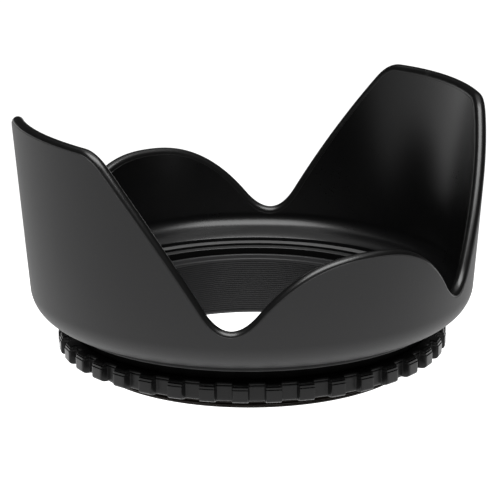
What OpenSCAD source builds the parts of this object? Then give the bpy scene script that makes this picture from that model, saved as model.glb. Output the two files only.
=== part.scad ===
// Screw-in petal lens hood for a 58 mm filter thread.
// The hood shell swivels on the mount ring, and the knurled collar, which screws up
// the mount ring's barrel, pushes a keyed washer against the shell to lock it.
// The origin is the centre of the mount ring's lens end, and +Z is the optical axis,
// pointing at the scene. The two long petals are centred on the X axis.

/* [Hood shell] */
// Height of the long petals' tips above the lens end
long_petal_h = 46.05; // [41:0.05:50]
// Height of the short petals' tips above the lens end
short_petal_h = 29; // [26:0.05:33]
// Thickness of the petal wall
shell_wall = 2.1; // [1.7:0.1:2.4]
// Radius of the lip round the shell's underside
lip_r = 33.7; // [33.2:0.1:34]
// Height of the lip's lower face above the lens end
lip_z = 8.05; // [8.05:0.05:8.2]
// How far the wall leans outwards, in mm of radius for each mm of height
wall_flare = 0.082; // [0.04:0.002:0.12]
// Radius of the bowl outside, between the lip and the wall
bowl_r = 5.2; // [4.8:0.1:5.6]
// Slope of the floor inside, down to the pocket for the mount ring's flange
floor_slope = 21; // [15:1:30]

/* [Petal outline] */
// Angle from a long petal's centre to its shoulder
shoulder_angle = 21.6; // [20:0.1:25]
// Drop of a long petal's tip from its centre to its shoulder
shoulder_drop = 0.3; // [0:0.05:1]
// Drop of a long petal's flank where it leaves the shoulder, in mm for each degree
flank_drop = 0.77; // [0.7:0.01:1]
// How much steeper the flank gets on the way down, in mm for each degree squared
flank_bend = 0.0066; // [0:0.0002:0.008]
// Drop of a short petal's dome at 9 degrees from its centre
dome_drop = 0.63; // [0.5:0.01:0.9]
// Exponent of a short petal's dome
dome_power = 2.4; // [2.1:0.02:2.5]
// Height over which the notches are blended
notch_blend = 16; // [10:0.2:18]
// Height over which the long petals' shoulders are blended
shoulder_blend = 2.6; // [1:0.2:8]

/* [Mount ring] */
// Radius of the male filter thread's crests
thread_r = 28.95; // [28.8:0.05:29]
// Length of the male filter thread
thread_len = 2.6; // [2.2:0.1:2.8]
// Radius of the barrel that the collar and the shell turn on
barrel_r = 30; // [29.8:0.05:30]
// Radius of the flange that holds the shell
flange_r = 32.3; // [32:0.1:32.5]
// Height of the flange's top face
flange_top = 11.6; // [11.2:0.1:11.8]

/* [Baffle sleeve] */
// Radius of the clear opening
opening_r = 24; // [23:0.1:24.5]
// Outer radius of the sleeve
sleeve_r = 27.2; // [26.5:0.1:27.3]
// Height of the sleeve's top face
sleeve_top = 10.6; // [9.8:0.1:10.8]

/* [Lock collar] */
// Number of proud lands round the collar
land_count = 38; // [30:1:44]
// Radius over the proud lands
knurl_r = 34.5; // [34:0.1:35]
// Depth of the recesses between the lands
knurl_depth = 1.3; // [0.8:0.1:1.6]
// Height of the knurled band
knurl_h = 3.4; // [3:0.1:3.6]
// Angle that the collar is turned to when it is tight
collar_angle = 0.3; // [0:0.1:9]

/* [Hidden] */
$fn = 128;

running_gap = 0.06;             // radial clearance on the barrel
face_gap = 0.05;                // clearance between faces that turn on each other
edge = 0.3;                     // chamfer on the turned edges
hole_r = barrel_r + running_gap;

lip_h = 1.05;                   // height of the lip below the bowl
ledge_z = lip_z + 1.55;         // top of the ledge that the flange holds
pocket_r = flange_r + 0.4;      // pocket in the floor that takes the flange
floor_z = flange_top + 0.55;    // the floor's height at the pocket

slip_t = 0.3;                   // thickness of the slip washer
slip_z = ledge_z + face_gap;
flange_z = slip_z + slip_t;
washer_t = 0.5;                 // thickness of the clamp washer
washer_r = 31.9;
washer_z = lip_z - face_gap - washer_t;
key_angle = 90;                 // the washer's two keys are on the Y axis
key_w = 4;
key_r = barrel_r - 0.9;
key_gap = 0.15;                 // clearance round each key in its slot

channel_r = 28.4;               // dark channel between the sleeve and the flange
channel_z = 8.8;
knurl_z = thread_len;
knurl_top = knurl_z + knurl_h;
neck_r = 31.7;

// Outside of the shell: the bowl's arc ends where it is tangent to the leaning wall.
wall_angle = atan(wall_flare);
bowl_x = lip_r + 0.3;
bowl_z = lip_z + lip_h + bowl_r;
arc_steps = 12;
function arc(x, z, r, from, to) =
    [for (i = [0:arc_steps]) let (t = from + (to - from) * i / arc_steps)
        [x + r * cos(t), z + r * sin(t)]];
function wall_r(z) =
    bowl_x + bowl_r * cos(wall_angle) + (z - bowl_z + bowl_r * sin(wall_angle)) * wall_flare;
function inner_r(z) = wall_r(z) - shell_wall;

// Inside: a rounded shoulder that is tangent to the wall and to the sloping floor.
// The arc's centre stands cove_r off the floor's line and off the wall's line.
cove_r = 3;
cove_base = floor_z - pocket_r * tan(floor_slope) + cove_r / cos(floor_slope);
cove_x = (inner_r(cove_base) - cove_r / cos(wall_angle)) / (1 - wall_flare * tan(floor_slope));
cove_z = cove_base + cove_x * tan(floor_slope);

// Height of the petals' edge at angle a from a long petal's centre, 0 to 90 degrees
function soft_min(p, q, k) =
    let (h = max(k - abs(p - q), 0) / k) min(p, q) - h * h * k / 4;
function soft_max(p, q, k) = -soft_min(-p, -q, k);
function crown(a) = long_petal_h - shoulder_drop * pow(a / shoulder_angle, 2);
function flank(a) =
    let (past = max(a - shoulder_angle, 0))
    long_petal_h - shoulder_drop - flank_drop * (a - shoulder_angle) - flank_bend * past * past;
function dome(a) = short_petal_h - dome_drop * pow((90 - a) / 9, dome_power);
function edge_z(a) =
    soft_max(soft_min(crown(a), flank(a), shoulder_blend), dome(a), notch_blend);

module turned(points) {
    rotate_extrude()
        polygon(points);
}

// Everything above the petals' edge: a ring whose lower face runs out from the axis
// along radial lines, at the edge's height for each angle.
module petal_waste() {
    step = 2;
    count = 360 / step;
    inner = 36;
    outer = 43;
    top = long_petal_h + 6;
    function fold(a) = let (b = a % 180) b > 90 ? 180 - b : b;
    function ring(r, z) =
        [for (i = [0:count - 1]) let (a = i * step)
            [r * cos(a), r * sin(a), z > 0 ? z : edge_z(fold(a))]];
    points = concat(ring(inner, 0), ring(outer, 0), ring(outer, top), ring(inner, top));
    faces = [for (i = [0:count - 1], face = let (j = (i + 1) % count) [
        [i, i + count, j], [j, i + count, j + count],
        [i + count, i + 2 * count, j + 2 * count, j + count],
        [i + 2 * count, i + 3 * count, j + 3 * count, j + 2 * count],
        [i + 3 * count, i, j, j + 3 * count]
    ]) face];
    polyhedron(points, faces);
}

module hood_shell() {
    blank_top = long_petal_h + 1;
    color([0.17, 0.17, 0.18])
    difference() {
        turned(concat(
            [[hole_r, lip_z], [lip_r - edge, lip_z], [lip_r, lip_z + edge],
             [lip_r, lip_z + lip_h]],
            arc(bowl_x, bowl_z, bowl_r, -90, -wall_angle),
            [[wall_r(blank_top), blank_top], [inner_r(blank_top), blank_top]],
            arc(cove_x, cove_z, cove_r, -wall_angle, floor_slope - 90),
            [[pocket_r, floor_z], [pocket_r, ledge_z], [hole_r, ledge_z]]
        ));
        petal_waste();
    }
}

module key_slots() {
    width = key_w + 2 * key_gap;
    root_r = key_r - key_gap;
    for (side = [0, 180])
        rotate([0, 0, key_angle + side])
            translate([root_r, -width / 2, knurl_z])
                cube([barrel_r + 1 - root_r, width, lip_z - knurl_z]);
}

module mount_ring() {
    groove = [30.6, 29.9];      // groove between the flange's two rims
    inner_rim = flange_top - 0.2;
    color([0.1, 0.09, 0.08])
    difference() {
        turned([
            [sleeve_r, 0], [thread_r - edge, 0], [thread_r, edge],
            [thread_r, thread_len], [barrel_r, thread_len + 0.2],
            [barrel_r, flange_z], [flange_r, flange_z],
            [flange_r, flange_top - edge / 2], [flange_r - edge / 2, flange_top],
            [groove[0] + 0.3, flange_top], [groove[0], flange_top - 0.6],
            [groove[1], flange_top - 0.6], [groove[1] - 0.3, inner_rim],
            [channel_r + 0.25, inner_rim], [channel_r, inner_rim - 0.25],
            [channel_r, channel_z], [sleeve_r, channel_z]
        ]);
        key_slots();
    }
}

module baffle_sleeve() {
    shoulder_r = sleeve_r + 0.6;
    shoulder_top = channel_z + 0.5;
    color([0.12, 0.12, 0.12])
    turned([
        [opening_r, edge / 2], [opening_r + edge / 2, 0],
        [sleeve_r, 0], [sleeve_r, channel_z],
        [shoulder_r, channel_z], [shoulder_r, shoulder_top], [sleeve_r, shoulder_top],
        [sleeve_r, sleeve_top - edge], [sleeve_r - edge, sleeve_top],
        [opening_r + edge, sleeve_top], [opening_r, sleeve_top - edge]
    ]);
}

module slip_washer() {
    color([0.2, 0.2, 0.2])
    turned([
        [hole_r, slip_z], [flange_r - 0.1, slip_z], [flange_r - 0.1, flange_z],
        [hole_r, flange_z]
    ]);
}

module clamp_washer() {
    color([0.08, 0.08, 0.08]) {
        turned([
            [hole_r, washer_z], [washer_r, washer_z],
            [washer_r, washer_z + washer_t], [hole_r, washer_z + washer_t]
        ]);
        for (side = [0, 180])
            rotate([0, 0, key_angle + side])
                translate([key_r, -key_w / 2, washer_z])
                    cube([barrel_r + 1 - key_r, key_w, washer_t]);
    }
}

module lock_collar() {
    root_r = knurl_r - knurl_depth;
    recess_w = 2 * root_r * sin(90 / land_count);
    step = 0.15;                // the upper bands stand back by this much each
    color([0.12, 0.12, 0.13])
    rotate([0, 0, collar_angle])
    difference() {
        turned([
            [hole_r, knurl_z], [knurl_r - edge, knurl_z], [knurl_r, knurl_z + edge],
            [knurl_r, knurl_top - 0.95], [knurl_r - step, knurl_top - 0.95],
            [knurl_r - step, knurl_top - 0.35], [knurl_r - 2 * step, knurl_top - 0.35],
            [root_r, knurl_top], [neck_r, knurl_top],
            [neck_r, washer_z - face_gap], [hole_r, washer_z - face_gap]
        ]);
        for (i = [0:land_count - 1])
            rotate([0, 0, (i + 0.5) * 360 / land_count])
                translate([root_r, -recess_w / 2, knurl_z - 1])
                    cube([3, recess_w, knurl_h + 2]);
    }
}

hood_shell();
mount_ring();
baffle_sleeve();
slip_washer();
clamp_washer();
lock_collar();
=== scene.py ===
import math

import bpy
import numpy as np
from mathutils import Matrix, Vector


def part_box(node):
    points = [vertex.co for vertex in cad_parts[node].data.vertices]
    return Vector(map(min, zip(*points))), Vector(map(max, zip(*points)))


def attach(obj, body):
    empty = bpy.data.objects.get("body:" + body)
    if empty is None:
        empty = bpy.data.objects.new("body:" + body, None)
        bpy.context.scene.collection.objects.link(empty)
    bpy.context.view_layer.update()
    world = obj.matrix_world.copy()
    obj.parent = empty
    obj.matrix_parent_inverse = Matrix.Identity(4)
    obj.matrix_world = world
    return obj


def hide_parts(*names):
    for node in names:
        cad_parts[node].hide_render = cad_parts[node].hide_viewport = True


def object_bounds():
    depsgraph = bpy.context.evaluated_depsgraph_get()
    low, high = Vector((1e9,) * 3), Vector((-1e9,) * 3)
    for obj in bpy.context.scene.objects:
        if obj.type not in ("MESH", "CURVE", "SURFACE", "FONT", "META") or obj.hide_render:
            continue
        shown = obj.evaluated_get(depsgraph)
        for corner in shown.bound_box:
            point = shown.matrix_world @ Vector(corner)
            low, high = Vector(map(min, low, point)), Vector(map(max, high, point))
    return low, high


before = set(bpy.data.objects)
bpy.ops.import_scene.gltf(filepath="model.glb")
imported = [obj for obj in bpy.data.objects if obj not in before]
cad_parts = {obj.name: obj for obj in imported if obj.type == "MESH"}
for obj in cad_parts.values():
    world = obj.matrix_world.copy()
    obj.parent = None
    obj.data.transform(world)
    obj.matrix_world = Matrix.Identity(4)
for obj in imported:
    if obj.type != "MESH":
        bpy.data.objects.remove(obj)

bl_info = {
    "name": "Petal lens hood",
    "version": (1, 0, 0),
    "blender": (4, 5, 0),
    "location": "3D View > Sidebar > Lens hood",
    "description": "A screw-in petal lens hood with its mount ring, baffle sleeve and knurled lock collar",
    "category": "Add Mesh",
}

MM = 0.001
CAD_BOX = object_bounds()
SHELL_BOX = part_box("hood_shell")
RING_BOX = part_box("mount_ring")
SLEEVE_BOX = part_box("baffle_sleeve")
COLLAR_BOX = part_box("lock_collar")
SLEEVE_RADIUS = 27.2 * MM


# ---------------------------------------------------------------- sizes and colours


def length(name, description, millimetres):
    """A length property, given in millimetres and kept in metres."""
    return bpy.props.FloatProperty(
        name=name,
        description=description,
        default=millimetres * MM,
        precision=5,
        unit="LENGTH",
    )


def angle(name, description, degrees):
    """An angle property, given in degrees and kept in radians."""
    return bpy.props.FloatProperty(
        name=name,
        description=description,
        default=math.radians(degrees),
        precision=3,
        unit="ROTATION",
    )


def number(name, description, value):
    """A plain number property."""
    return bpy.props.FloatProperty(name=name, description=description, default=value, precision=3)


def count(name, description, value):
    """A whole number property."""
    return bpy.props.IntProperty(name=name, description=description, default=value, min=3)


def colour(name, description, value):
    """A colour property, as linear red, green and blue."""
    return bpy.props.FloatVectorProperty(
        name=name, description=description, default=value, size=3, min=0, max=1, subtype="COLOR"
    )


class HoodShellSizes(bpy.types.PropertyGroup):
    """Sizes of the petal shell"""

    wall: length("Wall", "Thickness of the petal wall, square to the axis", 2.1)
    lip_radius: length("Lip radius", "Radius of the lip round the underside", 33.7)
    lip_height: length("Lip height", "Height of the lip below the bowl", 1.05)
    bowl_radius: length("Bowl radius", "Radius of the bowl between the lip and the wall", 5.2)
    flare: number("Flare", "Growth of the wall's radius for each unit of height", 0.082)
    cove_radius: length("Cove radius", "Radius of the rounded shoulder inside", 3)
    floor_slope: angle("Floor slope", "Slope of the floor inside", 21)
    floor_edge: length("Floor edge", "Height of the floor where it meets the pocket", 12.15)
    pocket_radius: length("Pocket radius", "Radius of the pocket for the flange", 32.7)
    ledge: length("Ledge", "Height of the ledge under the flange", 9.6)
    bore: length("Bore", "Radius of the bore on the barrel", 30.06)
    seam: length("Seam", "Depth of the fine line on each side of the rim", 0.05)
    rim_start: angle("Rim start", "Angle at which the rim's arc leaves the wall outside", 26)
    columns: count("Columns", "Mesh columns round the shell", 720)


class PetalOutline(bpy.types.PropertyGroup):
    """Outline of the petals, as heights over the angle from a long petal's centre"""

    short_tip: length("Short tip", "Height of the short petals' tips", 29)
    shoulder: angle("Shoulder", "Angle from a long petal's centre to its shoulder", 21.6)
    crown_drop: length("Crown drop", "Drop from a long petal's centre to its shoulder", 0.3)
    flank_drop: length("Flank drop", "Drop of the flank for each degree at the shoulder", 0.77)
    flank_bend: length("Flank bend", "Growth of the drop for each degree squared", 0.0066)
    dome_drop: length("Dome drop", "Drop of a short petal 9 degrees from its centre", 0.63)
    dome_power: number("Dome power", "Exponent of a short petal's dome", 2.4)
    notch_blend: length("Notch blend", "Height over which the notches are blended", 16)
    shoulder_blend: length("Shoulder blend", "Height over which the shoulders are blended", 2.6)


class RingSizes(bpy.types.PropertyGroup):
    """Sizes of the mount ring and the sleeve in it"""

    thread_radius: length("Thread radius", "Crest radius of the filter thread", 28.95)
    thread_pitch: length("Thread pitch", "Pitch of the filter thread", 0.75)
    thread_depth: length("Thread depth", "Depth of the filter thread", 0.42)
    barrel_radius: length("Barrel radius", "Radius of the barrel", 30)
    barrel_pitch: length("Barrel pitch", "Pitch of the collar's thread on the barrel", 1)
    barrel_depth: length("Barrel depth", "Depth of the collar's thread on the barrel", 0.5)
    flange_radius: length("Flange radius", "Radius of the flange that holds the shell", 32.4)
    flange_under: length("Flange underside", "Height of the flange's lower face", 9.95)
    groove_outer: length("Groove outside", "Outer radius of the flange's groove", 30.6)
    groove_inner: length("Groove inside", "Inner radius of the flange's groove", 29.9)
    channel_radius: length("Channel radius", "Outer radius of the dark channel", 28.4)
    channel_floor: length("Channel floor", "Height of the channel's floor", 8.8)
    opening: length("Opening", "Radius of the clear opening", 24)
    rib_pitch: length("Rib pitch", "Pitch of the light-trap ribs in the bore", 0.38)
    rib_depth: length("Rib depth", "Depth of the light-trap ribs", 0.16)


class CollarSizes(bpy.types.PropertyGroup):
    """Sizes of the knurled lock collar"""

    lands: count("Lands", "Number of proud lands", 38)
    root_radius: length("Root radius", "Radius in the recesses between the lands", 33.2)
    neck_radius: length("Neck radius", "Radius of the plain neck above the knurl", 31.7)
    knurl_top: length("Knurl top", "Height of the knurled band's top face", 6)
    turned: angle("Turned", "Angle that the collar is turned to at rest", 0.3)


class Finishes(bpy.types.PropertyGroup):
    """Colours of the finishes"""

    shell: colour("Shell", "Sparked matte plastic outside", (0.006, 0.006, 0.0064))
    lining: colour("Lining", "Black inside of the petals", (0.0013, 0.0013, 0.0014))
    rim: colour("Rim", "Polished rounded rim of the petals", (0.003, 0.003, 0.003))
    mount: colour("Mount", "Satin brownish black of the mount ring", (0.012, 0.009, 0.007))
    sleeve: colour("Sleeve", "Matte black of the baffle sleeve", (0.0065, 0.0065, 0.0069))
    collar: colour("Collar", "Semi-gloss black of the collar", (0.007, 0.007, 0.007))
    # recess is painted shade: a darker black for the collar's neck, the flange's groove and the channel.
    recess: colour("Recess", "Dead matte black of the collar's neck", (0.002, 0.002, 0.002))
    # flange and inner_rim are lit and shaded copies of one grey: the outer rim's lighter grey is a painted
    # highlight, the inner rim's darker grey is painted shade.
    flange: colour("Flange", "Grey black of the flange's outer rim", (0.055, 0.055, 0.055))
    inner_rim: colour("Inner rim", "Darker grey black of the flange's inner rim", (0.014, 0.014, 0.014))
    washer: colour("Washers", "Smooth nylon of the washers", (0.004, 0.004, 0.004))


class StageSizes(bpy.types.PropertyGroup):
    """Camera, lights and floor"""

    azimuth: angle("Azimuth", "Direction of the camera round the axis, 0 looking along +Y", -29.376)
    elevation: angle("Elevation", "Height of the camera above the horizon", 18.576)
    distance: length("Distance", "Distance of the camera from the origin", 521.11)
    turn: angle("Turn", "How far the view is turned left of the origin", 0.032)
    tilt: angle("Tilt", "How far the view is tilted above the origin", 2.035)
    roll: angle("Roll", "Roll of the camera", 0.42)
    lens: number("Lens", "Focal length in mm on a 36 mm sensor", 209.77)
    softbox: number("Softbox", "Power of the overhead softbox in watts", 15)
    fill: number("Top fill", "Power of the wide light above the object in watts", 4)
    surroundings: number("Surroundings", "Brightness of the white surroundings", 0.02)


GROUPS = (
    ("hood_shell_sizes", HoodShellSizes),
    ("petal_outline", PetalOutline),
    ("hood_ring_sizes", RingSizes),
    ("hood_collar_sizes", CollarSizes),
    ("hood_finishes", Finishes),
    ("hood_stage", StageSizes),
)


# ---------------------------------------------------------------- finishes


class Wire:
    """An output socket. Arithmetic on it adds Math nodes to its material."""

    def __init__(self, nodes, socket):
        self.nodes = nodes
        self.socket = socket

    def math(self, operation, *values):
        """A Math node of an operation on values or wires."""
        return self.nodes.add("ShaderNodeMath", {"operation": operation}, *values)

    def __add__(self, other):
        return self.math("ADD", self, other)

    def __mul__(self, other):
        return self.math("MULTIPLY", self, other)

    __radd__ = __add__
    __rmul__ = __mul__


class NodeMaker:
    def __init__(self, name):
        self.material = bpy.data.materials.new(name)
        self.material.use_nodes = True
        self.tree = self.material.node_tree
        self.tree.nodes.clear()
        self.object = self.add("ShaderNodeTexCoord", {}, output="Object")

    def add(self, kind, settings, *values, output=0, **named):
        """Adds a node of a kind. Settings come first, then the values or wires of its sockets
        by position or by name, and the named output comes back as a wire."""
        node = self.tree.nodes.new(kind)
        for key, value in settings.items():
            setattr(node, key, value)
        for key, value in [*enumerate(values), *named.items()]:
            socket = node.inputs[key if isinstance(key, int) else key.replace("_", " ")]
            if isinstance(value, Wire):
                self.tree.links.new(value.socket, socket)
            else:
                socket.default_value = value
        return Wire(self, node.outputs[output]) if node.outputs else node

    def noise(self, size, detail=2.0, roughness=0.5):
        """Noise from 0 to 1 whose features are about the given size in metres."""
        return self.add(
            "ShaderNodeTexNoise",
            {"noise_dimensions": "3D"},
            output="Fac",
            Vector=self.object,
            Scale=1 / size,
            Detail=detail,
            Roughness=roughness,
        )

    def ramp(self, value, low, high):
        """A value eased from 0 at low to 1 at high."""
        return self.add(
            "ShaderNodeMapRange",
            {"interpolation_type": "SMOOTHSTEP"},
            Value=value,
            From_Min=low,
            From_Max=high,
        )

    def blend(self, amount, first, second):
        """A colour mixed from first to second."""
        mixed = self.add("ShaderNodeMix", {"data_type": "RGBA"}, amount, output=2)
        for socket, value in zip(mixed.socket.node.inputs[6:8], (first, second)):
            if isinstance(value, Wire):
                self.tree.links.new(value.socket, socket)
            else:
                socket.default_value = value
        return mixed

    def bump(self, height, depth, strength=1.0):
        """A normal from a height of 0 to 1 that stands for a depth in metres."""
        return self.add("ShaderNodeBump", {}, Strength=strength, Distance=depth, Height=height)

    def finish(self, **sockets):
        """The Principled surface with its sockets, and the material's output."""
        surface = self.add("ShaderNodeBsdfPrincipled", {}, **sockets)
        output = self.tree.nodes.new("ShaderNodeOutputMaterial")
        self.tree.links.new(surface.socket, output.inputs["Surface"])
        return self.material


def rgba(value, factor=1.0):
    """A colour as four numbers, brightened by a factor."""
    return (*[min(1.0, part * factor) for part in value], 1.0)


def sparked_shell(colours):
    """Moulded plastic with a fine spark-eroded grain, faint clouding and a few lighter rubs."""
    make = NodeMaker("shell_sparked")
    grain = make.noise(0.22 * MM, 3.0, 0.6)
    cloud = make.noise(14 * MM, 3.0, 0.55)
    speck = make.ramp(make.noise(0.45 * MM, 1.0), 0.62, 0.78)
    tint = make.blend(cloud, rgba(colours.shell, 0.92), rgba(colours.shell, 1.12))
    tint = make.blend(speck * 0.35, tint, rgba(colours.shell, 1.9))
    return make.finish(
        Base_Color=tint,
        Roughness=0.44 + grain * 0.12 + cloud * 0.05,
        Specular_IOR_Level=0.38,
        Normal=make.bump(grain, 0.03 * MM, 0.55),
    )


def black_lining(colours):
    """The smoother black inside of the petals, with faint drawn marks and dust."""
    make = NodeMaker("shell_lining")
    grain = make.noise(0.3 * MM, 2.0, 0.5)
    cloud = make.noise(11 * MM, 3.0, 0.6)
    dust = make.ramp(make.noise(0.5 * MM, 0.0), 0.74, 0.82)
    tint = make.blend(cloud, rgba(colours.lining, 0.85), rgba(colours.lining, 1.25))
    tint = make.blend(dust * 0.5, tint, rgba(colours.lining, 3.0))
    return make.finish(
        Base_Color=tint,
        Roughness=0.24 + grain * 0.04 + cloud * 0.05,
        Specular_IOR_Level=0.3,
        Normal=make.bump(grain, 0.02 * MM, 0.15),
    )


def polished_rim(colours):
    """The rim's smoother, glossier plastic with small handling rubs."""
    make = NodeMaker("shell_rim")
    grain = make.noise(0.5 * MM, 2.0, 0.5)
    rub = make.ramp(make.noise(3 * MM, 4.0, 0.65), 0.58, 0.75)
    tint = make.blend(rub * 0.5, rgba(colours.rim), rgba(colours.rim, 2.2))
    return make.finish(
        Base_Color=tint,
        Roughness=0.28 + rub * 0.1 + grain * 0.05,
        Specular_IOR_Level=0.4,
        Normal=make.bump(grain, 0.01 * MM, 0.3),
    )


def satin_mount(colours):
    """Satin brownish black plastic with rubbed crests."""
    make = NodeMaker("mount_satin")
    grain = make.noise(0.25 * MM, 2.0, 0.5)
    rub = make.ramp(make.noise(1.6 * MM, 4.0, 0.6), 0.52, 0.72)
    tint = make.blend(rub * 0.6, rgba(colours.mount), rgba(colours.mount, 1.8))
    return make.finish(
        Base_Color=tint,
        Roughness=0.38 + grain * 0.1 + rub * 0.08,
        Specular_IOR_Level=0.2,
        Normal=make.bump(grain, 0.015 * MM, 0.4),
    )


def flange_rim_painted_light(name, value):
    """The smoother grey black of one of the flange's two rims, one plastic in two painted tones: lighter
    on the outer rim as a painted highlight, darker on the inner rim as painted shade.
    """
    make = NodeMaker(name)
    grain = make.noise(0.3 * MM, 2.0, 0.5)
    cloud = make.noise(6 * MM, 3.0, 0.6)
    # painted highlight on the outer rim and painted shade on the inner rim, set by the value passed in
    tint = make.blend(cloud, rgba(value, 0.8), rgba(value, 1.25))
    return make.finish(
        Base_Color=tint,
        Roughness=0.42 + grain * 0.08,
        Normal=make.bump(grain, 0.012 * MM, 0.35),
    )


def ribbed_sleeve(colours):
    """Matte black plastic of the light trap, clouded with dust between its ribs."""
    make = NodeMaker("sleeve_matte")
    grain = make.noise(0.2 * MM, 2.0, 0.5)
    dust = make.ramp(make.noise(2.4 * MM, 4.0, 0.6), 0.45, 0.75)
    tint = make.blend(dust * 0.5, rgba(colours.sleeve), rgba(colours.sleeve, 1.5))
    return make.finish(
        Base_Color=tint,
        Roughness=0.46 + grain * 0.1,
        Specular_IOR_Level=0.3,
        Normal=make.bump(grain, 0.015 * MM, 0.4),
    )


def gloss_collar(colours):
    """Semi-gloss black plastic, slightly worn where fingers turn it."""
    make = NodeMaker("collar_gloss")
    grain = make.noise(0.3 * MM, 2.0, 0.5)
    rub = make.ramp(make.noise(1.2 * MM, 5.0, 0.65), 0.5, 0.72)
    tint = make.blend(rub * 0.5, rgba(colours.collar), rgba(colours.collar, 2.0))
    return make.finish(
        Base_Color=tint,
        Roughness=0.27 + grain * 0.06 + rub * 0.12,
        Specular_IOR_Level=0.18,
        Normal=make.bump(grain, 0.012 * MM, 0.35),
    )


def recess_painted_shade(colours):
    """Painted shade: a darker, dead matte black on the collar's neck, the groove and the channel, where
    shade falls.
    """
    make = NodeMaker("recess_painted_shade")
    grain = make.noise(0.2 * MM, 2.0, 0.5)
    # painted shade: a darker black than the collar and the mount around it
    tint = make.blend(grain, rgba(colours.recess, 0.7), rgba(colours.recess, 1.3))
    return make.finish(
        Base_Color=tint,
        Roughness=0.8 + grain * 0.1,
        Specular_IOR_Level=0.04,
        Normal=make.bump(grain, 0.02 * MM, 0.4),
    )


def nylon_washer(colours):
    """Smooth nylon with faint clouding."""
    make = NodeMaker("washer_nylon")
    cloud = make.noise(1.5 * MM, 3.0, 0.6)
    tint = make.blend(cloud, rgba(colours.washer, 0.8), rgba(colours.washer, 1.3))
    return make.finish(
        Base_Color=tint,
        Roughness=0.4 + cloud * 0.12,
        Normal=make.bump(cloud, 0.01 * MM, 0.3),
    )


def glowing_floor():
    """A dark grey sheet that glows, though it is no lamp, so that it looks white: painted light, brightest
    in a painted pool of light under the object and dimmer further out.
    """
    make = NodeMaker("stage_floor")
    away = make.add("ShaderNodeVectorMath", {"operation": "LENGTH"}, make.object, output="Value")
    # Painted pool of light: the glow is full strength within 45 mm of the middle and falls to 0.63 beyond
    # 85 mm.
    painted_glow_pool = make.blend(make.ramp(away, 0.045, 0.085), (1, 1, 1, 1), (0.63, 0.63, 0.63, 1))
    cloud = make.noise(60 * MM, 2.0, 0.5)
    tint = make.blend(cloud, (0.08, 0.08, 0.08, 1), (0.09, 0.09, 0.09, 1))
    return make.finish(
        Base_Color=tint,
        Roughness=0.6,
        Emission_Color=painted_glow_pool,
        Emission_Strength=1.6,
    )


# ---------------------------------------------------------------- shapes


def closed_quads(rows, columns):
    """Faces of a grid that joins itself both ways, as four vertex numbers each: every point
    joins the next one round and the next one along, and the last joins the first."""
    here = np.arange(rows * columns).reshape(rows, columns)
    right = np.roll(here, -1, axis=1)
    corners = (here, right, np.roll(right, -1, axis=0), np.roll(here, -1, axis=0))
    return np.stack(corners, axis=-1).reshape(-1, 4)


def make_piece(name, points, zones, materials):
    """A closed mesh from points[row, column]. Each row is a ring round the axis, and the rows
    follow a closed section. zones gives each row's material number. The faces are turned
    outwards by the sign of the volume, the sum of the corners' triple products."""
    rows, columns = points.shape[:2]
    places = points.reshape(-1, 3)
    quads = closed_quads(rows, columns)
    a, b, c, d = (places[quads[:, k]] for k in range(4))
    volume = np.sum(a * (np.cross(b, c) + np.cross(c, d)))
    if volume < 0:
        quads = quads[:, ::-1]
    mesh = bpy.data.meshes.new(name)
    mesh.vertices.add(len(places))
    mesh.vertices.foreach_set("co", places.astype(np.float32).ravel())
    mesh.loops.add(quads.size)
    mesh.loops.foreach_set("vertex_index", quads.astype(np.int32).ravel())
    mesh.polygons.add(len(quads))
    mesh.polygons.foreach_set("loop_start", np.arange(0, quads.size, 4, dtype=np.int32))
    mesh.polygons.foreach_set("material_index", np.repeat(zones, columns).astype(np.int32))
    mesh.polygons.foreach_set("use_smooth", np.ones(len(quads), dtype=bool))
    mesh.update(calc_edges=True)
    mesh.validate()
    for material in materials:
        mesh.materials.append(material)
    mesh.set_sharp_from_angle(angle=math.radians(38))
    piece = bpy.data.objects.new(name, mesh)
    bpy.context.scene.collection.objects.link(piece)
    return piece


def arc(x, z, radius, start, end, steps):
    """Points on a circle's arc in the section, from one angle to another in degrees."""
    turn = np.radians(np.linspace(start, end, steps))
    return np.stack([x + radius * np.cos(turn), z + radius * np.sin(turn)], axis=-1)


def turned(section, angles):
    """A section of (radius, height) carried round the axis, as points[row, column]."""
    radius, height = section[:, 0:1], section[:, 1:2]
    return spun(radius * np.ones_like(angles), height * np.ones_like(angles), angles)


def spun(radius, height, angles):
    """Radii and heights at angles round the axis, as points in space."""
    return np.stack([radius * np.cos(angles), radius * np.sin(angles), height], axis=-1)


def thread_form(phase):
    """An ISO thread's depth over one pitch: 1 on the crest, which takes an eighth of the
    pitch, 0 at the root, which takes a quarter, and straight flanks between them."""
    from_crest = np.abs((phase + 0.5) % 1.0 - 0.5)
    return np.clip((0.375 - from_crest) / (0.375 - 0.0625), 0, 1)


def soft_min(p, q, k):
    """The smaller of two heights, rounded where they come within k of each other."""
    near = np.maximum(k - np.abs(p - q), 0) / k
    return np.minimum(p, q) - near * near * k / 4


def petal_edge(turn, outline, tip):
    """Height of the petals' edge at an angle. From a long petal's centre outwards it is a
    flat crown, a flank that steepens, a blended notch and the short petal's dome."""
    folded = np.abs((np.degrees(turn) + 90) % 180 - 90)
    shoulder = math.degrees(outline.shoulder)
    crown = tip - outline.crown_drop * (folded / shoulder) ** 2
    past = np.maximum(folded - shoulder, 0)
    flank = tip - outline.crown_drop - outline.flank_drop * (folded - shoulder)
    flank -= outline.flank_bend * past**2
    away = np.abs(90 - folded) / 9
    dome = outline.short_tip - outline.dome_drop * away**outline.dome_power
    petal = soft_min(crown, flank, outline.shoulder_blend)
    return -soft_min(-petal, -dome, outline.notch_blend)


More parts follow.
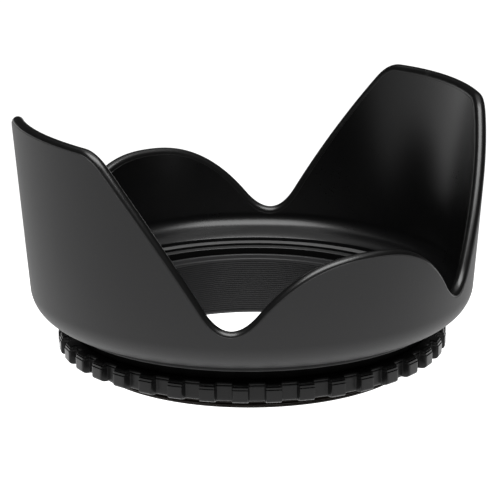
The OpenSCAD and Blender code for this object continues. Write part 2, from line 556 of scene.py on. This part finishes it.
def rim_line(sizes, outline, tip, rim_radius):
    """The centre line of the rim: the petals' edge moved inwards by the rim's radius, square
    to itself on the wall unrolled flat, then spaced evenly along its length. Returns its
    angles and heights."""
    fine_steps = 7200
    turn = np.linspace(0, 2 * np.pi, fine_steps + 1)[:-1]
    height = petal_edge(turn, outline, tip)
    reach = wall_radius(height, sizes) - sizes.wall / 2
    along = (np.roll(turn, -1) - np.roll(turn, 1)) % (2 * np.pi) * reach
    rise = np.roll(height, -1) - np.roll(height, 1)
    size = np.hypot(along, rise)
    turn = turn + rim_radius * rise / size / reach
    height = height - rim_radius * along / size
    turn = np.append(turn, turn[0] + 2 * np.pi)
    height = np.append(height, height[0])
    typical_radius = 40 * MM
    step = np.hypot(np.diff(turn) * typical_radius, np.diff(height))
    travel = np.concatenate([[0], np.cumsum(step)])
    even = np.linspace(0, travel[-1], sizes.columns + 1)[:-1]
    return np.interp(even, travel, turn), np.interp(even, travel, height)


def bowl_height(sizes):
    """Height of the bowl arc's centre above the lens end."""
    return SHELL_BOX[0].z + sizes.lip_height + sizes.bowl_radius


def wall_radius(height, sizes):
    """Radius of the wall's outside: a cone that leaves the bowl's arc on its tangent."""
    lean = math.atan(sizes.flare)
    centre = sizes.lip_radius + 0.3 * MM
    start = centre + sizes.bowl_radius * math.cos(lean)
    rise = height - bowl_height(sizes) + sizes.bowl_radius * math.sin(lean)
    return start + rise * sizes.flare


def shell_points(sizes, outline):
    """The shell as one closed section at each angle: the lip, the bowl's arc, the leaning
    wall, a rounded rim carried along the petals' edge square to it, the wall inside, the
    cove, the sloping floor and the pocket. The rim is a quarter circle inside, and outside a
    larger arc that leaves the wall at the rim's start angle. Returns the points and each row's
    zone: 0 for the outside, 1 for the rim, 2 for the inside."""
    lean = math.atan(sizes.flare)
    low = SHELL_BOX[0].z
    rim_radius = sizes.wall / 2 * math.cos(lean)
    turn, height = rim_line(sizes, outline, SHELL_BOX[1].z, rim_radius)

    middle = wall_radius(height, sizes) - sizes.wall / 2
    centre = spun(middle, height, turn)
    tangent = np.roll(centre, -1, axis=0) - np.roll(centre, 1, axis=0)
    tangent /= np.linalg.norm(tangent, axis=1, keepdims=True)
    outward = spun(math.cos(lean), np.full_like(turn, -math.sin(lean)), turn)
    outward -= np.sum(outward * tangent, axis=1, keepdims=True) * tangent
    outward /= np.linalg.norm(outward, axis=1, keepdims=True)
    upward = np.cross(outward, tangent)

    def beside(out, up):
        """Rows at distances outwards and upwards from the rim's centre line."""
        out, up = np.asarray(out)[:, None, None], np.asarray(up)[:, None, None]
        return centre + outward * out + upward * up

    seam = sizes.seam
    inner_rim = rim_radius - seam
    reach = inner_rim / math.cos(sizes.rim_start)
    step = rim_radius - reach * (1 - math.sin(sizes.rim_start))
    outside = np.linspace(sizes.rim_start, math.pi / 2, 11)
    within = np.radians(np.linspace(98, 178, 8))
    rim = beside(
        np.concatenate([[rim_radius, rim_radius, inner_rim, inner_rim],
                        reach * np.cos(outside), inner_rim * np.cos(within),
                        [-inner_rim, -inner_rim, -rim_radius, -rim_radius]]),
        np.concatenate([[step - 4 * seam, step - 3 * seam, step - 2.4 * seam, step - 0.8 * seam],
                        rim_radius - reach * (1 - np.sin(outside)), rim_radius * np.sin(within),
                        [-0.8 * seam, -2.4 * seam, -3 * seam, -4 * seam]]),
    )
    rim_zone = np.repeat([0, 1, 2], [3, len(outside) + len(within) + 3, 2])

    # lip and bowl
    bowl_x, bowl_z = sizes.lip_radius + 0.3 * MM, bowl_height(sizes)
    below = np.concatenate([
        [[sizes.bore, low + 0.2 * MM], [sizes.bore + 0.2 * MM, low]],
        arc(sizes.lip_radius - 0.2 * MM, low + 0.2 * MM, 0.2 * MM, -90, 14, 6),
        [[sizes.lip_radius - 0.28 * MM, low + sizes.lip_height]],
        arc(bowl_x, bowl_z, sizes.bowl_radius, -90, -math.degrees(lean), 20),
    ])
    under = turned(below, turn)

    def wall(start_z, end, radius_at, early):
        """Rows from a fixed height up to the rim's edge. The early rows keep their heights
        where there is room, and the others are spaced evenly up the rest."""
        end_turn = np.arctan2(end[:, 1], end[:, 0])
        drift = (end_turn - turn + np.pi) % (2 * np.pi) - np.pi
        room = end[:, 2] - start_z
        squeeze = np.minimum(1, room / (early[-1] * 1.25))
        fixed = start_z + np.asarray(early)[:, None] * squeeze
        share = np.linspace(0, 1, 9)[1:-1, None]
        rest = fixed[-1] + (end[:, 2] - fixed[-1]) * share
        heights = np.concatenate([fixed, rest])
        return spun(radius_at(heights), heights, turn + drift * (heights - start_z) / room)

    def outer_radius(z):
        """The wall outside."""
        return wall_radius(z, sizes)

    def inside(z):
        """The wall inside."""
        return wall_radius(z, sizes) - sizes.wall

    outer = wall(below[-1, 1], rim[0], outer_radius, np.array([0.3, 0.7]) * MM)
    slope = sizes.floor_slope
    cove = sizes.cove_radius
    base = sizes.floor_edge - sizes.pocket_radius * math.tan(slope) + cove / math.cos(slope)
    cove_x = (inside(base) - cove / math.cos(lean)) / (1 - sizes.flare * math.tan(slope))
    cove_z = base + cove_x * math.tan(slope)
    meet = cove_z - cove * math.sin(lean)

    def inner_radius(z):
        """The cove's arc up to where it meets the wall, then the wall."""
        drop = np.clip(cove_z - z, 0, cove)
        return np.where(z < meet, cove_x + np.sqrt(cove**2 - drop**2), inside(z))

    start = cove_z - cove * math.sin(math.radians(30))
    inner = wall(start, rim[-1], inner_radius, np.array([0.3, 0.6, 0.9, 1.2, 1.5]) * MM)[::-1]
    floor = np.concatenate([
        arc(cove_x, cove_z, cove, -30, math.degrees(slope) - 90, 8),
        bevelled_run([(sizes.pocket_radius, sizes.floor_edge), (sizes.pocket_radius, sizes.ledge),
                      (sizes.bore, sizes.ledge)], 0.12 * MM),
    ])
    points = np.concatenate([under, outer, rim, inner, turned(floor, turn)])
    zones = np.concatenate([
        np.zeros(len(under) + len(outer), int), rim_zone,
        np.full(len(inner) + len(floor), 2),
    ])
    return points, zones


def bevelled_run(spots, size):
    """An open run of corners, each cut by a small flat of the given size along its sides."""
    out = []
    for k, spot in enumerate(spots):
        spot = np.array(spot)
        back = np.array(spots[k - 1]) if k else spot + np.array([1.0, 0.35])
        ahead = np.array(spots[k + 1]) if k + 1 < len(spots) else spot + np.array([0.0, -1.0])
        out.append(spot + (back - spot) / np.linalg.norm(back - spot) * size)
        out.append(spot + (ahead - spot) / np.linalg.norm(ahead - spot) * size)
    return np.array(out)


def ring_points(sizes):
    """The mount ring: a section turned round the axis, whose two outside threads are helices.
    A thread's radius is its crest less its depth where the thread form is low, and its phase
    moves one pitch up for each turn. Two key slots are cut into the barrel. The zones are 0
    for the threads, 1 for the flange's outer rim, whose lighter grey is a painted highlight,
    2 for the groove and channel, whose darker black is painted shade, and 3 for the inner rim,
    whose darker grey is painted shade."""
    spacing = np.radians(np.arange(0, 360, 1.0))
    slot_edge = 2.15 / 30
    edges = np.array([math.pi / 2, 3 * math.pi / 2])[:, None] + np.array(
        [-slot_edge - 0.002, -slot_edge, slot_edge, slot_edge + 0.002]
    )
    angles = np.sort(np.concatenate([spacing, edges.ravel()]))
    top = RING_BOX[1].z
    rim = top - 0.2 * MM
    relief = sizes.thread_radius - sizes.thread_depth
    undercut, plain_barrel, slot_floor = 29.5 * MM, 29.98 * MM, 28.95 * MM
    thread_end, barrel_low, barrel_high = 2.6 * MM, 2.85 * MM, 7.45 * MM
    thread_z = np.arange(0.35 * MM, 2.3 * MM, sizes.thread_pitch / 14)
    barrel_z = np.arange(barrel_low + 0.1 * MM, barrel_high, sizes.barrel_pitch / 12)
    bore = SLEEVE_RADIUS

    def run(radius, heights):
        """Points of one radius at each height."""
        return np.stack([np.full_like(heights, radius), heights], axis=-1)

    parts = [
        ("plain", np.array([
            [bore, 0.15 * MM], [bore + 0.15 * MM, 0], [sizes.thread_radius - 0.12 * MM, 0],
            [sizes.thread_radius, 0.08 * MM], [sizes.thread_radius, 0.3 * MM],
        ])),
        ("thread", run(sizes.thread_radius, thread_z)),
        ("plain", np.array([[relief, 2.38 * MM], [relief, thread_end],
                            [undercut - 0.2 * MM, thread_end], [undercut, barrel_low]])),
        ("barrel", run(sizes.barrel_radius, barrel_z)),
        ("plain", np.array([
            [undercut, barrel_high + 0.05 * MM], [undercut, 7.9 * MM],
            [plain_barrel, 8.06 * MM], [plain_barrel, sizes.flange_under],
            [sizes.flange_radius - 0.12 * MM, sizes.flange_under],
            [sizes.flange_radius, sizes.flange_under + 0.12 * MM],
        ])),
        ("plain", arc(sizes.flange_radius - 0.16 * MM, top - 0.16 * MM, 0.16 * MM, 0, 90, 5)),
        ("plain", arc(sizes.groove_outer + 0.18 * MM, top - 0.18 * MM, 0.18 * MM, 90, 180, 4)),
        ("plain", np.array([
            [sizes.groove_outer, top - 0.55 * MM], [sizes.groove_outer - 0.05 * MM, top - 0.6 * MM],
            [sizes.groove_inner + 0.05 * MM, top - 0.6 * MM], [sizes.groove_inner, top - 0.55 * MM],
        ])),
        ("plain", arc(sizes.groove_inner - 0.15 * MM, rim - 0.15 * MM, 0.15 * MM, 0, 90, 4)),
        ("plain", arc(sizes.channel_radius + 0.15 * MM, rim - 0.15 * MM, 0.15 * MM, 90, 180, 4)),
        ("plain", np.array([
            [sizes.channel_radius, sizes.channel_floor + 0.1 * MM],
            [sizes.channel_radius - 0.1 * MM, sizes.channel_floor],
            [bore, sizes.channel_floor],
        ])),
    ]
    section = np.concatenate([part for _, part in parts])
    kind = np.concatenate([[name] * len(part) for name, part in parts])[:, None]
    z = section[:, 1:2] * np.ones_like(angles)
    radius = section[:, 0:1] * np.ones_like(angles)
    fine = 1 - thread_form(z / sizes.thread_pitch - angles / (2 * np.pi))
    coarse = 1 - thread_form(z / sizes.barrel_pitch - angles / (2 * np.pi))
    lead = np.maximum(z - 2.15 * MM, 0)
    cut = np.minimum(sizes.thread_radius - sizes.thread_depth * fine, sizes.thread_radius - lead)
    radius = np.where(kind == "thread", np.maximum(cut, relief), radius)
    radius = np.where(kind == "barrel", plain_barrel - sizes.barrel_depth * coarse, radius)
    from_key = np.abs(angles % math.pi - math.pi / 2)
    slot = (from_key < slot_edge + 0.001) & (z > barrel_low - 0.01 * MM) & (z < 8.0 * MM)
    radius = np.where(slot & (radius > slot_floor), slot_floor, radius)
    reach, rise = ((section + np.roll(section, -1, axis=0)) / 2).T
    # rows of the groove and the channel, which take the painted shade
    painted_shade_rows = (rise > 8.5 * MM) & (rise < top - 0.3 * MM) & (reach < sizes.groove_outer + 0.01 * MM)
    painted_shade_rows |= (rise < top - 0.05 * MM) & (np.abs(reach - sizes.groove_outer) < 0.06 * MM)
    # outer rim rows take the painted highlight, inner rim rows the painted shade
    flange = np.where(reach > sizes.groove_inner, 1, 3)
    return spun(radius, z, angles), np.where(painted_shade_rows, 2, np.where(rise > 9.9 * MM, flange, 0))


def sleeve_points(sizes):
    """The baffle sleeve: a turned ring with a shallow trough in its top face, and ribs down
    its bore, each a slope from the crest to the rib's depth and a sharp step back."""
    angles = np.radians(np.arange(0, 360, 1.25))
    top = SLEEVE_BOX[1].z
    outer = SLEEVE_RADIUS
    opening = sizes.opening
    ribs = np.arange(int((top - 1.0 * MM) / sizes.rib_pitch))
    crest = top - 0.55 * MM - ribs * sizes.rib_pitch
    heights = np.stack([crest, crest - 0.12 * sizes.rib_pitch, crest - 0.22 * sizes.rib_pitch,
                        crest - 0.9 * sizes.rib_pitch], axis=-1).ravel()
    radii = opening + np.tile([0, 0, 1, 0.1], len(ribs)) * sizes.rib_depth
    bore = np.stack([radii, heights], axis=-1)
    section = np.concatenate([
        arc(opening + 0.35 * MM, top - 0.35 * MM, 0.35 * MM, 90, 180, 5),
        bore,
        [[opening, 0.35 * MM], [opening + 0.3 * MM, 0], [outer - 0.1 * MM, 0], [outer, 0.1 * MM],
         [outer, 8.82 * MM], [outer + 0.5 * MM, 8.82 * MM], [outer + 0.6 * MM, 8.92 * MM],
         [outer + 0.6 * MM, 9.2 * MM], [outer + 0.5 * MM, 9.3 * MM], [outer, 9.3 * MM]],
        arc(outer - 0.3 * MM, top - 0.3 * MM, 0.3 * MM, 0, 90, 5),
        [[outer - 0.55 * MM, top], [outer - 0.7 * MM, top - 0.12 * MM],
         [opening + 0.9 * MM, top - 0.12 * MM], [opening + 0.75 * MM, top]],
    ])
    return turned(section, angles), np.zeros(len(section), int)


def collar_points(sizes, ring):
    """The lock collar. Its section has two radii at each height, one on the proud lands and
    one in the recesses, and the land's share at an angle mixes them: 1 across a land, 0 across
    a recess, and a steep rounded flank between. The bore carries the barrel's helix. The
    zones are 0 for the knurl and 1 for the neck."""
    lands = sizes.lands
    pitch = 2 * math.pi / lands
    within = np.array([0, 0.30, 0.42, 0.455, 0.475, 0.4875, 0.5, 0.5125, 0.525, 0.545, 0.58, 0.70])
    share = np.interp(
        np.concatenate([within, [1.0]]),
        [0, 0.42, 0.455, 0.475, 0.525, 0.545, 0.58, 1.0],
        [1, 1, 0.97, 0.86, 0.14, 0.03, 0, 0],
    )[:-1]
    one_side = np.stack([within * 0.5, share])
    other_side = np.stack([1 - within[1:][::-1] * 0.5, share[1:][::-1]])
    cell = np.concatenate([one_side, other_side], axis=1)
    angles = (np.arange(lands)[:, None] + cell[0]).ravel() * pitch + sizes.turned
    land = np.tile(cell[1], lands)

    low, proud, root = COLLAR_BOX[0].z, COLLAR_BOX[1].x, sizes.root_radius
    bore, top, neck = ring.barrel_radius + 0.06 * MM, sizes.knurl_top, sizes.neck_radius
    high = COLLAR_BOX[1].z
    # height, radius on a land, radius in a recess
    knurl = np.array([
        [low, neck, neck],
        [low, root - 0.5 * MM, root - 0.5 * MM],
        [low + 0.02 * MM, proud - 0.75 * MM, root - 0.25 * MM],
        [low + 0.10 * MM, proud - 0.42 * MM, root - 0.12 * MM],
        [low + 0.25 * MM, proud - 0.17 * MM, root - 0.04 * MM],
        [low + 0.45 * MM, proud - 0.03 * MM, root],
        [low + 0.65 * MM, proud, root],
        [4.90 * MM, proud, root],
        [4.94 * MM, proud - 0.04 * MM, root],
        [4.96 * MM, proud - 0.28 * MM, root],
        [5.04 * MM, proud - 0.28 * MM, root],
        [5.06 * MM, proud - 0.12 * MM, root],
        [5.38 * MM, proud - 0.14 * MM, root],
        [5.41 * MM, proud - 0.18 * MM, root - 0.02 * MM],
        [5.43 * MM, proud - 0.45 * MM, root - 0.22 * MM],
        [5.51 * MM, proud - 0.45 * MM, root - 0.22 * MM],
        [5.53 * MM, proud - 0.30 * MM, root - 0.04 * MM],
        [5.72 * MM, proud - 0.36 * MM, root - 0.04 * MM],
        [5.90 * MM, proud - 0.58 * MM, root - 0.12 * MM],
        [top, proud - 0.85 * MM, root - 0.30 * MM],
    ])
    plain_neck = np.array([
        [top, neck + 0.15 * MM, neck + 0.15 * MM],
        [top + 0.1 * MM, neck, neck],
        [high - 0.1 * MM, neck, neck],
        [high, neck - 0.1 * MM, neck - 0.1 * MM],
        [high, bore + 0.15 * MM, bore + 0.15 * MM],
    ])
    section = np.concatenate([knurl, plain_neck])
    radius = section[:, 2:3] + (section[:, 1:2] - section[:, 2:3]) * land
    height = section[:, 0:1] * np.ones_like(angles)

    helix = np.arange(high - 0.15 * MM, low + 0.15 * MM, -ring.barrel_pitch / 12)[:, None]
    form = thread_form(helix / ring.barrel_pitch - angles / (2 * np.pi))
    thread_crest = 29.58 * MM
    inner = thread_crest + ring.barrel_depth * form
    radius = np.concatenate([radius, inner, np.full((1, len(angles)), bore + 0.15 * MM)])
    height = np.concatenate([height, helix * np.ones_like(angles), np.full((1, len(angles)), low)])
    zones = np.zeros(len(radius), int)
    # the neck's rows take the painted shade
    zones[len(knurl):len(section) - 1] = 1
    return spun(radius, height, angles), zones


# ---------------------------------------------------------------- operators


class MakeShell(bpy.types.Operator):
    """Make the petal shell with its rounded rim"""

    bl_idname = "lenshood.shell"
    bl_label = "Petal shell"

    def execute(self, context):
        scene = context.scene
        points, zones = shell_points(scene.hood_shell_sizes, scene.petal_outline)
        colours = scene.hood_finishes
        finishes = [sparked_shell(colours), polished_rim(colours), black_lining(colours)]
        piece = make_piece("petal_shell", points, zones, finishes)
        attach(piece, "hood")
        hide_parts("hood_shell")
        return {"FINISHED"}


class MakeMountRing(bpy.types.Operator):
    """Make the mount ring with its filter thread, barrel thread and flange"""

    bl_idname = "lenshood.mount_ring"
    bl_label = "Mount ring"

    def execute(self, context):
        scene = context.scene
        points, zones = ring_points(scene.hood_ring_sizes)
        colours = scene.hood_finishes
        finishes = [
            satin_mount(colours),
            flange_rim_painted_light("mount_flange_painted_highlight", colours.flange),
            recess_painted_shade(colours),
            flange_rim_painted_light("mount_inner_rim_painted_shade", colours.inner_rim),
        ]
        piece = make_piece("threaded_ring", points, zones, finishes)
        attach(piece, "mount")
        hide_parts("mount_ring")
        return {"FINISHED"}


class MakeSleeve(bpy.types.Operator):
    """Make the ribbed baffle sleeve"""

    bl_idname = "lenshood.sleeve"
    bl_label = "Baffle sleeve"

    def execute(self, context):
        scene = context.scene
        points, zones = sleeve_points(scene.hood_ring_sizes)
        piece = make_piece("ribbed_sleeve", points, zones, [ribbed_sleeve(scene.hood_finishes)])
        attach(piece, "mount")
        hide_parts("baffle_sleeve")
        return {"FINISHED"}


class MakeCollar(bpy.types.Operator):
    """Make the knurled lock collar"""

    bl_idname = "lenshood.collar"
    bl_label = "Lock collar"

    def execute(self, context):
        scene = context.scene
        points, zones = collar_points(scene.hood_collar_sizes, scene.hood_ring_sizes)
        colours = scene.hood_finishes
        finishes = [gloss_collar(colours), recess_painted_shade(colours)]
        piece = make_piece("knurled_collar", points, zones, finishes)
        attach(piece, "collar")
        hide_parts("lock_collar")
        return {"FINISHED"}


class FinishWashers(bpy.types.Operator):
    """Give the slip washer and the clamp washer their nylon"""

    bl_idname = "lenshood.washers"
    bl_label = "Washers"

    def execute(self, context):
        nylon = nylon_washer(context.scene.hood_finishes)
        for name in ("slip_washer", "clamp_washer"):
            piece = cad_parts[name]
            if not piece.material_slots:
                piece.data.materials.append(nylon)
            for slot in piece.material_slots:
                slot.material = nylon
        return {"FINISHED"}


class MakeStage(bpy.types.Operator):
    """Set the floor, the soft lights and the camera"""

    bl_idname = "lenshood.stage"
    bl_label = "Stage"

    def execute(self, context):
        scene = context.scene
        sizes = scene.hood_stage
        floor_under(CAD_BOX[0].z)
        soft_light("overhead_softbox", seen(sizes, 0.0, -0.3, 0.85), (0.85, 0.6), sizes.softbox)
        soft_light("top_fill", seen(sizes, 0.0, 0.25, 1.2), (1.3, 1.2), sizes.fill)
        world = bpy.data.worlds.new("studio")
        world.use_nodes = True
        background = world.node_tree.nodes["Background"]
        background.inputs["Color"].default_value = (1.0, 1.0, 1.0, 1.0)
        background.inputs["Strength"].default_value = sizes.surroundings
        scene.world = world
        scene.view_settings.view_transform = "Standard"
        scene.camera = studio_camera(sizes)
        return {"FINISHED"}


def floor_under(height):
    """A wide square sheet just under the object, with a small step so that it isn't touched."""
    reach = 2.0
    mesh = bpy.data.meshes.new("floor")
    z = height - 0.02 * MM
    corners = [(-reach, -reach, z), (reach, -reach, z), (reach, reach, z), (-reach, reach, z)]
    mesh.from_pydata(corners, [], [(0, 1, 2, 3)])
    mesh.materials.append(glowing_floor())
    floor = bpy.data.objects.new("floor", mesh)
    bpy.context.scene.collection.objects.link(floor)


def seen(sizes, right, away, up):
    """A place given to the right of the view, away from the camera and up."""
    c, s = math.cos(sizes.azimuth), math.sin(sizes.azimuth)
    return (right * c - away * s, right * s + away * c, up)


def soft_light(name, place, size, power):
    """A rectangular soft light that points at the object's middle."""
    light = bpy.data.lights.new(name, "AREA")
    light.shape = "RECTANGLE"
    light.size, light.size_y = size
    light.energy = power
    lamp = bpy.data.objects.new(name, light)
    aim = Vector((0, 0, 0.02)) - Vector(place)
    lamp.rotation_euler = aim.to_track_quat("-Z", "Y").to_euler()
    lamp.location = place
    bpy.context.scene.collection.objects.link(lamp)


def studio_camera(sizes):
    """The camera: it stands at an azimuth, an elevation and a distance, looks at the origin,
    and is then turned, tilted and rolled about its own axes."""
    a, e = sizes.azimuth, sizes.elevation
    back = Vector((math.sin(a) * math.cos(e), -math.cos(a) * math.cos(e), math.sin(e)))
    ahead = -back
    right = ahead.cross(Vector((0, 0, 1))).normalized()
    up = right.cross(ahead)
    for axis, amount in (("up", sizes.turn), ("right", sizes.tilt), ("ahead", sizes.roll)):
        spin = Matrix.Rotation(amount, 3, {"up": up, "right": right, "ahead": ahead}[axis])
        right, up, ahead = spin @ right, spin @ up, spin @ ahead
    data = bpy.data.cameras.new("camera")
    data.sensor_width = 36
    data.lens = sizes.lens
    data.clip_start, data.clip_end = 0.05, 20
    camera = bpy.data.objects.new("camera", data)
    turn = Matrix((right, up, -ahead)).transposed()
    camera.matrix_world = Matrix.Translation(back * sizes.distance) @ turn.to_4x4()
    bpy.context.scene.collection.objects.link(camera)
    return camera


class HoodPanel(bpy.types.Panel):
    """The lens hood's operators and sizes"""

    bl_idname = "VIEW3D_PT_lens_hood"
    bl_label = "Lens hood"
    bl_space_type = "VIEW_3D"
    bl_region_type = "UI"
    bl_category = "Lens hood"

    def draw(self, context):
        for operator in OPERATORS:
            self.layout.operator(operator.bl_idname)
        for attribute, group in GROUPS:
            box = self.layout.box()
            box.label(text=group.__doc__)
            for name in group.__annotations__:
                box.prop(getattr(context.scene, attribute), name)


OPERATORS = (MakeShell, MakeMountRing, MakeSleeve, MakeCollar, FinishWashers, MakeStage)


def register():
    for attribute, group in GROUPS:
        bpy.utils.register_class(group)
        setattr(bpy.types.Scene, attribute, bpy.props.PointerProperty(type=group))
    for kind in (*OPERATORS, HoodPanel):
        bpy.utils.register_class(kind)


def unregister():
    for kind in reversed((*OPERATORS, HoodPanel)):
        bpy.utils.unregister_class(kind)
    for attribute, group in reversed(GROUPS):
        delattr(bpy.types.Scene, attribute)
        bpy.utils.unregister_class(group)


def main():
    register()
    bpy.ops.lenshood.shell()
    bpy.ops.lenshood.mount_ring()
    bpy.ops.lenshood.sleeve()
    bpy.ops.lenshood.collar()
    bpy.ops.lenshood.washers()
    bpy.ops.lenshood.stage()


if __name__ == "__main__":
    main()
